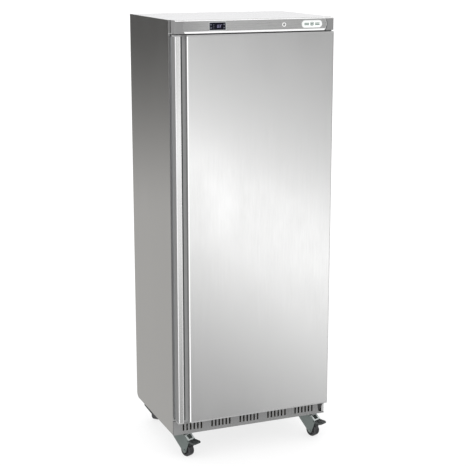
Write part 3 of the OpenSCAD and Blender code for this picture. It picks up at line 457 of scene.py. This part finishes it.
def add_prism(shape, outline, place, low, high):
    """Closed prism of an outline in u and v, from low to high along the direction that place gives."""
    rings = [[shape.verts.new(place(u, v, w)) for u, v in outline] for w in (low, high)]
    skin_rings(shape, rings)
    shape.faces.new(rings[0])
    shape.faces.new(rings[1][::-1])


def add_bar(shape, a, b, width, place, low, high):
    """Flat bar between two points in u and v."""
    a, b = Vector(a), Vector(b)
    side = (b - a).normalized().orthogonal() * width / 2
    add_prism(shape, [a - side, b - side, b + side, a + side], place, low, high)


def add_lathe(shape, profile, centre, axis, steps=64):
    """Ring turned about an axis from a closed profile of (distance along the axis, radius)."""
    axis = Vector(axis).normalized()
    side = axis.orthogonal().normalized()
    other = axis.cross(side)
    rings = []
    for k in range(steps):
        angle = 2 * math.pi * k / steps
        out = side * math.cos(angle) + other * math.sin(angle)
        rings.append([shape.verts.new(centre + axis * along + out * radius) for along, radius in profile])
    skin_rings(shape, rings, closed=True)


def add_tube(shape, path, radius, y, sides=8):
    """Closed round bead along a path in X and Z, centred on a plane of constant Y."""
    rings = []
    for index, here in enumerate(path):
        run = (path[(index + 1) % len(path)] - path[index - 1]).normalized()
        across = Vector((-run.y, run.x))
        ring = []
        for k in range(sides):
            angle = 2 * math.pi * k / sides
            point = here + across * radius * math.cos(angle)
            ring.append(shape.verts.new((point.x, y + radius * math.sin(angle), point.y)))
        rings.append(ring)
    skin_rings(shape, rings, closed=True)


def add_piece(name, shape, body, finish, replaces=()):
    """Object from a shape that rides on a body, with the finish of the given name."""
    bmesh.ops.recalc_face_normals(shape, faces=shape.faces)
    mesh = bpy.data.meshes.new(name)
    shape.to_mesh(mesh)
    shape.free()
    for face in mesh.polygons:
        face.use_smooth = True
    mesh.set_sharp_from_angle(angle=math.radians(SMOOTH_BELOW))
    mesh.materials.append(finishes[finish])
    piece = bpy.data.objects.new(name, mesh)
    SCENE.collection.objects.link(piece)
    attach(piece, body)
    if replaces:
        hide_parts(*replaces)
    return piece


def add_bevel(item, width, segments=3, angle=40):
    """Rounds the edges that are sharper than an angle in degrees."""
    made = item.modifiers.new("edge", "BEVEL")
    made.width = width
    made.segments = segments
    made.limit_method = "ANGLE"
    made.angle_limit = math.radians(angle)
    made.harden_normals = True
    return made


# ---------- Cabinet ----------

def make_side_panels():
    """Side sheets with broader folds at the top and back, each as a slab, since its inside is hidden."""
    back_fold = 4 * MM
    fold = 1.6 * MM
    for side, name in ((-1, "left_side_panel"), (1, "right_side_panel")):
        low, high = corners_of(name)
        outer, inner = (low.x, high.x) if side < 0 else (high.x, low.x)
        above = 0.1 * MM
        corner = 28 * MM
        outline = rounded([(low.y, low.z + above, 0), (high.y, low.z + above, corner), (high.y, high.z, 0),
                           (low.y, high.z, 0)], steps=10)
        shape = bmesh.new()
        add_prism(shape, outline, along_x, inner, outer)
        weight = shape.edges.layers.float.new("bevel_weight_edge")
        for edge in shape.edges:
            if all(abs(vertex.co.x - outer) < TINY for vertex in edge.verts):
                broad = any(all(abs(vertex.co[axis] - high[axis]) < TINY for vertex in edge.verts)
                            for axis in (1, 2))
                edge[weight] = 1 if broad else fold / back_fold
        piece = add_piece(name + "_sheet", shape, "cabinet", "steel_upright", (name,))
        add_bevel(piece, back_fold, 5).limit_method = "WEIGHT"


def make_liner():
    """One-piece plastic liner with rounded inside corners, open at the front."""
    low, high = corners_of("inner_liner")
    wall = 1.2 * MM
    step_y, step_z = high.y - STEP_DEPTH, low.z + STEP_HEIGHT
    outline = [(low.y, low.z + wall), (step_y - wall, low.z + wall), (step_y - wall, step_z + wall),
               (high.y - wall, step_z + wall), (high.y - wall, high.z - wall), (low.y, high.z - wall)]
    shape = bmesh.new()
    add_prism(shape, outline, along_x, low.x + wall, high.x - wall)
    front = [face for face in shape.faces if all(abs(vertex.co.y - low.y) < TINY for vertex in face.verts)]
    bmesh.ops.delete(shape, geom=front, context="FACES_ONLY")
    piece = add_piece("fridge_liner", shape, "cabinet", "white_plastic", ("inner_liner",))
    add_bevel(piece, 6 * MM, 5)
    shell = piece.modifiers.new("wall", "SOLIDIFY")
    shell.thickness = wall
    shell.offset = 1


# ---------- Door ----------

def make_grip():
    """The grip's strip with a white bead painted as its edge highlight, its side wall, the channel floor and
    a black strip painted as the shadow behind the strip.
    """
    low, high = corners_of("handle_profile")
    wall = 2.5 * MM
    strip = 28.5 * MM
    lip = 7.5 * MM
    groove = 22 * MM
    inside = low.x + wall
    edge = low.x + strip
    bead = 4.2 * MM
    flat = low.y + 0.8 * MM
    start = low.x + 2.2 * MM
    outline = rounded([
        (start, low.y + wall, 0), (start, flat, 0), (edge - bead - MM, flat, 0.5 * MM),
        (edge - bead, low.y, 0.9 * MM),
        (edge, low.y, 1.4 * MM), (edge, low.y + lip, 0.9 * MM), (edge - wall, low.y + lip, 0.9 * MM),
        (edge - wall, low.y + wall, 2 * MM)], steps=7)
    shape = bmesh.new()
    add_prism(shape, outline, along_z, low.z, high.z)
    add_piece("grip_strip", shape, "door", "grip_aluminium", ("handle_profile",))
    seat = flat + 0.5 * MM
    # Painted highlight: a near-white bead along the strip's left edge
    painted_highlight_width = 3.4 * MM
    outline = rounded([(start + TINY, seat, 0), (start + TINY, low.y, 0.6 * MM),
                       (start + painted_highlight_width, low.y, 0.6 * MM), (start + painted_highlight_width, seat, 0)], steps=5)
    shape = bmesh.new()
    add_prism(shape, outline, along_z, low.z + TINY, high.z - TINY)
    add_piece("grip_highlight_bead", shape, "door", "trim_painted_highlight")
    notch = 0.9 * MM
    mid = low.y + 20 * MM
    outline = rounded([
        (low.x, high.y, 0), (low.x, mid + notch, 0), (low.x + notch, mid, 0), (low.x, mid - notch, 0),
        (low.x, low.y, 1.4 * MM), (start, low.y, 0.4 * MM), (start, low.y + wall, 0),
        (inside, low.y + wall, 0), (inside, high.y, 0)], steps=7)
    shape = bmesh.new()
    add_prism(shape, outline, along_z, low.z, high.z)
    add_piece("grip_wall", shape, "door", "wall_grey")
    outline = [Vector((inside, high.y)), Vector((inside, low.y + groove)),
               Vector((high.x, low.y + groove)), Vector((high.x, high.y))]
    shape = bmesh.new()
    add_prism(shape, outline, along_z, low.z, high.z)
    add_piece("grip_channel", shape, "door", "channel_grey")
    floor = low.y + groove
    # Painted shadow: a black strip on the channel floor beside the strip's edge
    reach = edge + 12.5 * MM
    painted_shadow = [Vector((inside + MM, floor + MM)), Vector((inside + MM, floor - MM)),
              Vector((reach, floor - MM)), Vector((reach, floor + MM))]
    shape = bmesh.new()
    add_prism(shape, painted_shadow, along_z, low.z + MM, high.z - MM)
    add_piece("grip_painted_shadow", shape, "door", "dark_plastic")


def make_gasket():
    """Magnetic seal, mitred at the corners, and a rubber skirt that closes the gap beside the grip."""
    low, high = corners_of("door_gasket")
    depth = high.y - low.y
    profile = rounded([(2 * MM, 0, 0), (10 * MM, 0, 0), (10 * MM, 0.22 * depth, 0.4 * MM),
                       (7.4 * MM, 0.30 * depth, 0.3 * MM), (11.2 * MM, 0.44 * depth, 0.6 * MM),
                       (7.8 * MM, 0.56 * depth, 0.4 * MM), (12 * MM, 0.66 * depth, 0.9 * MM),
                       (12 * MM, depth, 1.3 * MM), (0, depth, 1.3 * MM), (0, 0.66 * depth, 0.9 * MM),
                       (4.2 * MM, 0.56 * depth, 0.4 * MM), (0.8 * MM, 0.44 * depth, 0.6 * MM),
                       (4.6 * MM, 0.30 * depth, 0.3 * MM), (2 * MM, 0.22 * depth, 0.4 * MM)], steps=4)
    shape = bmesh.new()
    rings = []
    for side_x, side_z in ((-1, -1), (1, -1), (1, 1), (-1, 1)):
        ring = []
        for inward, out in profile:
            x = side_x * (high.x - inward)
            z = low.z + inward if side_z < 0 else high.z - inward
            ring.append(shape.verts.new((x, low.y + out, z)))
        rings.append(ring)
    skin_rings(shape, rings, closed=True)
    add_piece("door_seal", shape, "door", "gasket_rubber", ("door_gasket",))
    grip_low, grip_high = corners_of("handle_profile")
    skirt = rounded([(grip_low.x + 2 * MM, grip_high.y - MM, 0), (grip_low.x + 5 * MM, grip_high.y - MM, 0),
                     (grip_low.x + 5 * MM, high.y - MM, MM), (grip_low.x + 2 * MM, high.y - MM, MM)], steps=5)
    end = 2 * MM
    shape = bmesh.new()
    add_prism(shape, skirt, along_z, grip_low.z + end, grip_high.z - end)
    add_piece("seal_skirt", shape, "door", "gasket_rubber")


# ---------- Control panel ----------

# Lit segments of each figure that the display shows: a to f from the top one round, and g in the middle
SEGMENTS = {"0": "abcdef", "3": "abcdg"}


def add_figure(shape, figure, u, v, width, height, place, low, high):
    """Seven-segment figure with its lower left corner at u, v, leaning a little to the right."""
    thick = 0.13 * height
    half = height / 2
    ends = {"a": ((0, height), (width, height)), "b": ((width, half), (width, height)),
            "c": ((width, 0), (width, half)), "d": ((0, 0), (width, 0)), "e": ((0, 0), (0, half)),
            "f": ((0, half), (0, height)), "g": ((0, half), (width, half))}
    for letter in SEGMENTS[figure]:
        a, b = (Vector((u + x + 0.1 * z, v + z)) for x, z in ends[letter])
        gap = (b - a).normalized() * 0.55 * thick
        add_bar(shape, a + gap, b - gap, thick, place, low, high)


def make_display():
    """Figures, small lamps and key symbols of the controller."""
    low, high = corners_of("controller_lens")
    centre = (low + high) / 2
    face = low.y
    shape = bmesh.new()
    for index, figure in enumerate("03"):
        add_figure(shape, figure, centre.x - 1 * MM + index * 9 * MM, centre.z - 5.5 * MM, 5.4 * MM, 11 * MM,
                   along_y, face - 0.12 * MM, face + 0.1 * MM)
    add_prism(shape, circle(centre.x + 19.4 * MM, centre.z + 6 * MM, 1.1 * MM, 16), along_y,
              face - 0.12 * MM, face + 0.1 * MM)
    add_piece("display_figures", shape, "cabinet", "lit_segment")
    shape = bmesh.new()
    for index in range(3):
        z = centre.z + (index - 1) * 7 * MM
        add_bar(shape, (centre.x - 19 * MM, z), (centre.x - 16.6 * MM, z), 1.2 * MM, along_y,
                face - 0.1 * MM, face + 0.1 * MM)
    add_piece("display_marks", shape, "cabinet", "printed_grey")
    for index, symbol in enumerate(("up", "down", "ring", "bars")):
        make_key_symbol(index + 1, symbol)


def make_key_symbol(number, symbol):
    """Printed symbol on the face of a key, which moves with it."""
    low, high = corners_of("controller_button_%d" % number)
    centre = (low + high) / 2
    front, back = low.y - 0.1 * MM, low.y + 0.2 * MM
    reach = 1.5 * MM
    shape = bmesh.new()
    if symbol in ("up", "down"):
        tip = reach if symbol == "up" else -reach
        base = centre.z - tip * 0.7
        outline = [Vector((centre.x - reach, base)), Vector((centre.x + reach, base)),
                   Vector((centre.x, centre.z + tip * 0.9))]
        add_prism(shape, outline, along_y, front, back)
    elif symbol == "ring":
        add_tube(shape, circle(centre.x, centre.z, reach * 0.9, 24), 0.25 * MM, low.y + 0.1 * MM, 6)
        add_bar(shape, (centre.x, centre.z), (centre.x, centre.z + 1.2 * reach), 0.5 * MM, along_y,
                front, back)
    else:
        for z in (-0.9 * MM, 0, 0.9 * MM):
            left, right = (centre.x - reach, centre.z + z), (centre.x + reach, centre.z + z)
            add_bar(shape, left, right, 0.4 * MM, along_y, front, back)
    add_piece("key_%d_symbol" % number, shape, "key_%d" % number, "printed_grey")


def make_badge_marks():
    """Raised rim, a snowflake and two pairs of plain bars on the oval badge."""
    low, high = corners_of("badge_plate")
    centre = (low + high) / 2
    half_w, half_h = (high.x - low.x) / 2, (high.z - low.z) / 2
    inset = 1.2 * MM
    radius = half_h - inset
    left, right = centre.x - half_w + inset, centre.x + half_w - inset
    path = rounded([(left, centre.z - radius, radius), (right, centre.z - radius, radius),
                    (right, centre.z + radius, radius), (left, centre.z + radius, radius)], steps=12)
    path = [point for index, point in enumerate(path) if (point - path[index - 1]).length > TINY]
    shape = bmesh.new()
    add_tube(shape, path, 0.7 * MM, low.y)
    add_piece("badge_rim", shape, "cabinet", "chrome")
    shape = bmesh.new()
    front, back = low.y - 0.3 * MM, low.y + 0.3 * MM
    arm = 0.62 * half_h
    middle = Vector((centre.x, centre.z))
    for k in range(6):
        out = Vector((math.cos(math.radians(60 * k + 30)), math.sin(math.radians(60 * k + 30))))
        add_bar(shape, middle, middle + out * arm, 1.9 * MM, along_y, front, back)
        for turn in (-50, 50):
            lean = math.radians(60 * k + 30 + turn)
            twig = Vector((math.cos(lean), math.sin(lean)))
            root = middle + out * arm * 0.55
            add_bar(shape, root, root + twig * arm * 0.4, 1.5 * MM, along_y, front, back)
    near, far = 15 * MM, 37 * MM
    for side in (-1, 1):
        for z in (-3.2 * MM, 3.2 * MM):
            start, end = (centre.x + side * near, centre.z + z), (centre.x + side * far, centre.z + z)
            add_bar(shape, start, end, 3.6 * MM, along_y, front, back)
    add_piece("badge_snowflake", shape, "cabinet", "badge_green")


def make_fascia_trim():
    """White strip on the leaning band below the panel as a painted highlight, its top hem, and the curved
    seam at its right end.
    """
    low, high = corners_of("fascia_panel")
    face = low.y
    band = 8 * MM
    lean = 0.65 * MM
    thick = 0.3 * MM
    inset = 7 * MM
    # Painted highlight: the leaning band is drawn as a near-white strip
    outline = [Vector((face + lean, low.z)), Vector((face, low.z + band)),
               Vector((face - thick, low.z + band)), Vector((face + lean - thick, low.z))]
    shape = bmesh.new()
    add_prism(shape, outline, along_x, low.x + inset, high.x - inset)
    add_piece("fascia_painted_highlight", shape, "cabinet", "trim_painted_highlight")
    under, over = high.z - 3.2 * MM, high.z - 0.2 * MM
    hem = rounded([(face + MM, under, 0), (face - 1.3 * MM, under, 0.4 * MM),
                   (face - 0.4 * MM, over, 0.2 * MM), (face + MM, over, 0)], steps=4)
    edge_low, edge_high = corners_of("top_panel")
    shape = bmesh.new()
    add_prism(shape, hem, along_x, edge_low.x + 12 * MM, edge_high.x - 12 * MM)
    add_piece("fascia_hem", shape, "cabinet", "steel_trim")
    radius = 41 * MM
    middle = (low.z + high.z) / 2
    half = (high.z - low.z) / 2
    for name, finish, near, far in (("fascia_seam", "seam_dark", radius, radius + 3 * MM),
                                    ("fascia_bead", "steel_trim", radius - 1.5 * MM, radius)):
        shape = bmesh.new()
        add_prism(shape, arc_band(high.x - radius, middle, near, far, half, 1), along_y, face - thick,
                  face + 0.5 * MM)
        add_piece(name, shape, "cabinet", finish)


def arc_band(centre, middle, near, far, half, side, steps=24):
    """Outline in X and Z of an upright band between two arcs that bulge to one side."""
    points = []
    for radius, order in ((near, range(steps + 1)), (far, range(steps, -1, -1))):
        for k in order:
            z = half * (2 * k / steps - 1)
            points.append(Vector((centre + side * math.sqrt(radius * radius - z * z), middle + z)))
    return points


# ---------- Back ----------

def make_louvres():
    """Pressed hood over each slot of the rear grille."""
    low, high = corners_of("rear_grille")
    proud = 2.2 * MM
    sheet = 0.6 * MM
    steps = 6
    rows, row_pitch, column_pitch = 11, 16 * MM, 200 * MM
    first = 59 * MM
    half = 82 * MM
    shape = bmesh.new()
    for row in range(rows):
        bottom = low.z + first + row * row_pitch
        top = bottom + 10 * MM
        curve = []
        for k in range(steps + 1):
            angle = math.radians(90 * k / steps)
            curve.append((high.y + proud * math.sin(angle), top - (top - bottom) * (1 - math.cos(angle))))
        outer = [Vector(point) for point in curve]
        inner = [Vector((max(high.y - sheet, y - sheet), z - sheet * (1 - k / steps)))
                 for k, (y, z) in enumerate(curve)]
        for column in (-1, 0, 1):
            left, right = column * column_pitch - half, column * column_pitch + half
            add_prism(shape, outer + inner[::-1], along_x, left, right)
            cheek = outer + [Vector((high.y - sheet, bottom)), Vector((high.y - sheet, top))]
            for x in (left, right - sheet):
                add_prism(shape, cheek, along_x, x, x + sheet)
    add_piece("grille_hoods", shape, "cabinet", "galvanised")


def make_screws():
    """Pan-head screws with a cross recess, one for each of the plain ones."""
    low, high = corners_of("panel_screws")
    head = 4 * MM
    depth = 2 * MM
    rear = high.y - depth
    profile = [(0, 0.15 * head), (depth * 0.62, 0.15 * head), (depth, 0.45 * head),
               (depth * 0.86, 0.78 * head), (depth * 0.5, 0.96 * head), (0, head)]
    shape = bmesh.new()
    for x, z in screw_places():
        centre = Vector((x, rear, z))
        add_lathe(shape, profile, centre, (0, 1, 0), 24)
        add_prism(shape, circle(x, z, 0.46 * head, 16), along_y, rear + depth * 0.3, rear + depth * 0.5)
        for angle in (45, 135):
            out = Vector((math.cos(math.radians(angle)), math.sin(math.radians(angle)))) * 0.5 * head
            for sign in (-1, 1):
                quarter = out * sign
                inner, outer = Vector((x, z)) + quarter * 0.62, Vector((x, z)) + quarter * 0.98
                add_bar(shape, inner, outer, 0.44 * head, along_y, rear + depth * 0.3, rear + depth * 0.93)
        add_prism(shape, circle(x, z, 2 * MM, 16), along_y, low.y, rear + 0.1 * MM)
    add_piece("cross_head_screws", shape, "cabinet", "galvanised", ("panel_screws",))


def screw_places():
    """Centres of the separate screws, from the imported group's own heads."""
    low, high = corners_of("panel_screws")
    columns = 5
    return [(low.x + 4 * MM + k * (high.x - low.x - 8 * MM) / (columns - 1), z)
            for k in range(columns) for z in (low.z + 4 * MM, high.z - 4 * MM)]


# ---------- Castors ----------

def make_wheels():
    """Rubber tread with round shoulders on a ribbed nylon hub, for each castor."""
    for corner in ("front_left", "front_right", "rear_left", "rear_right"):
        roll = JOINTS[corner + "_roll"]
        centre, axis = Vector(roll["pos_m"]), Vector(roll["axis"])
        radius = centre.z
        half = 16 * MM
        bore = 4.06 * MM
        rim = radius - 7 * MM
        tread = rounded([(-half, rim, 0), (half, rim, 0), (half, radius, 5 * MM),
                         (-half, radius, 5 * MM)], steps=8)
        shape = bmesh.new()
        add_lathe(shape, tread, centre, axis, 72)
        add_piece(corner + "_tread", shape, corner + "_wheel", "tread_rubber",
                  (corner + "_wheel",))
        shape = bmesh.new()
        boss = 8 * MM
        web = 8 * MM
        shoulder, boss_end = half - 0.4 * MM, half - 0.2 * MM
        hub = rounded([(-boss_end, bore, 0), (boss_end, bore, 0), (boss_end, boss, 0.8 * MM),
                       (web, boss + 1.5 * MM, MM), (web, rim - 3 * MM, MM),
                       (shoulder, rim - 2 * MM, 0.6 * MM), (shoulder, rim, 0), (-shoulder, rim, 0),
                       (-shoulder, rim - 2 * MM, 0.6 * MM), (-web, rim - 3 * MM, MM),
                       (-web, boss + 1.5 * MM, MM), (-boss_end, boss, 0.8 * MM)], steps=3)
        add_lathe(shape, hub, centre, axis, 48)
        side = axis.normalized().orthogonal().normalized()
        other = axis.normalized().cross(side)
        for k in range(6):
            angle = math.radians(60 * k)
            out = side * math.cos(angle) + other * math.sin(angle)
            across = axis.normalized().cross(out)

            def place(u, v, w, out=out, across=across):
                return centre + out * u + across * v + axis.normalized() * w

            rib = [Vector((boss - MM, -MM)), Vector((rim - MM, -MM)), Vector((rim - MM, MM)),
                   Vector((boss - MM, MM))]
            add_prism(shape, rib, place, -half + 2 * MM, half - 2 * MM)
        add_piece(corner + "_hub", shape, corner + "_wheel", "wheel_nylon")


def make_window_rims():
    """Folded rim round the window in the sloping front of each braked fork, in a zinc much lighter than the
    fork's as a painted highlight.
    """
    for corner in ("front_left", "front_right"):
        swivel = Vector(JOINTS[corner + "_swivel"]["pos_m"])
        ahead = Vector(JOINTS[corner + "_roll"]["pos_m"]) - swivel
        ahead = Vector((ahead.x, ahead.y, 0)).normalized()
        across = Vector((0, 0, 1)).cross(ahead)
        top, end = Vector(SLOPE_TOP) * MM, Vector(SLOPE_END) * MM
        run = (end - top).normalized()
        rise = Vector((-run.y, run.x))
        length = (end - top).length
        half = 21.5 * MM
        hole = 13 * MM

        def place(u, v, w):
            on_slope = top + run * u + rise * w
            base = Vector((swivel.x, swivel.y, 0))
            return base + ahead * on_slope.x + across * v + Vector((0, 0, on_slope.y))

        near, far = 4 * MM, length - 6 * MM
        shape = bmesh.new()
        for u0, u1, v0, v1 in ((0, near, -half, half), (far, length, -half, half),
                               (near, far, -half, -hole), (near, far, hole, half)):
            side = [Vector((u0, v0)), Vector((u1, v0)), Vector((u1, v1)), Vector((u0, v1))]
            add_prism(shape, side, place, -0.5 * MM, 0.8 * MM)
        add_piece(corner + "_window_rim", shape, corner + "_castor", "rim_painted_highlight")


# ---------- Everything ----------

# Width of the rounded edge on CAD nodes that keep their own shape, in millimetres
EDGES = {"top_panel": 0.5, "fascia_panel": 0.5, "fascia_end_caps": 0.8, "kick_plate": 0.5, "front_frame": 0.3,
         "door_end_caps": 0.8, "breaker_frame": 1.0, "controller_housing": 0.5, "lock_collar": 0.5,
         "badge_plate": 0.4, "evaporator_cover": 0.6, "front_left_fork": 0.8, "front_right_fork": 0.8,
         "rear_left_fork": 0.8, "rear_right_fork": 0.8, "front_left_brake": 1.0, "front_right_brake": 1.0,
         "castor_plates": 0.8, "door_inner_panel": 1.0, "bottom_hinge_bracket": 0.6, "top_hinge_bracket": 0.6}


def soften_edges():
    """Rounded edges on the CAD nodes that show as they are."""
    for name, width in EDGES.items():
        add_bevel(NODES[name], width * MM, 2)


make_camera()
make_light()
make_floor()
finishes = make_finishes()
dress_cad_nodes(finishes)
soften_edges()
make_side_panels()
make_liner()
make_grip()
make_gasket()
make_display()
make_badge_marks()
make_fascia_trim()
make_louvres()
make_screws()
make_wheels()
make_window_rims()
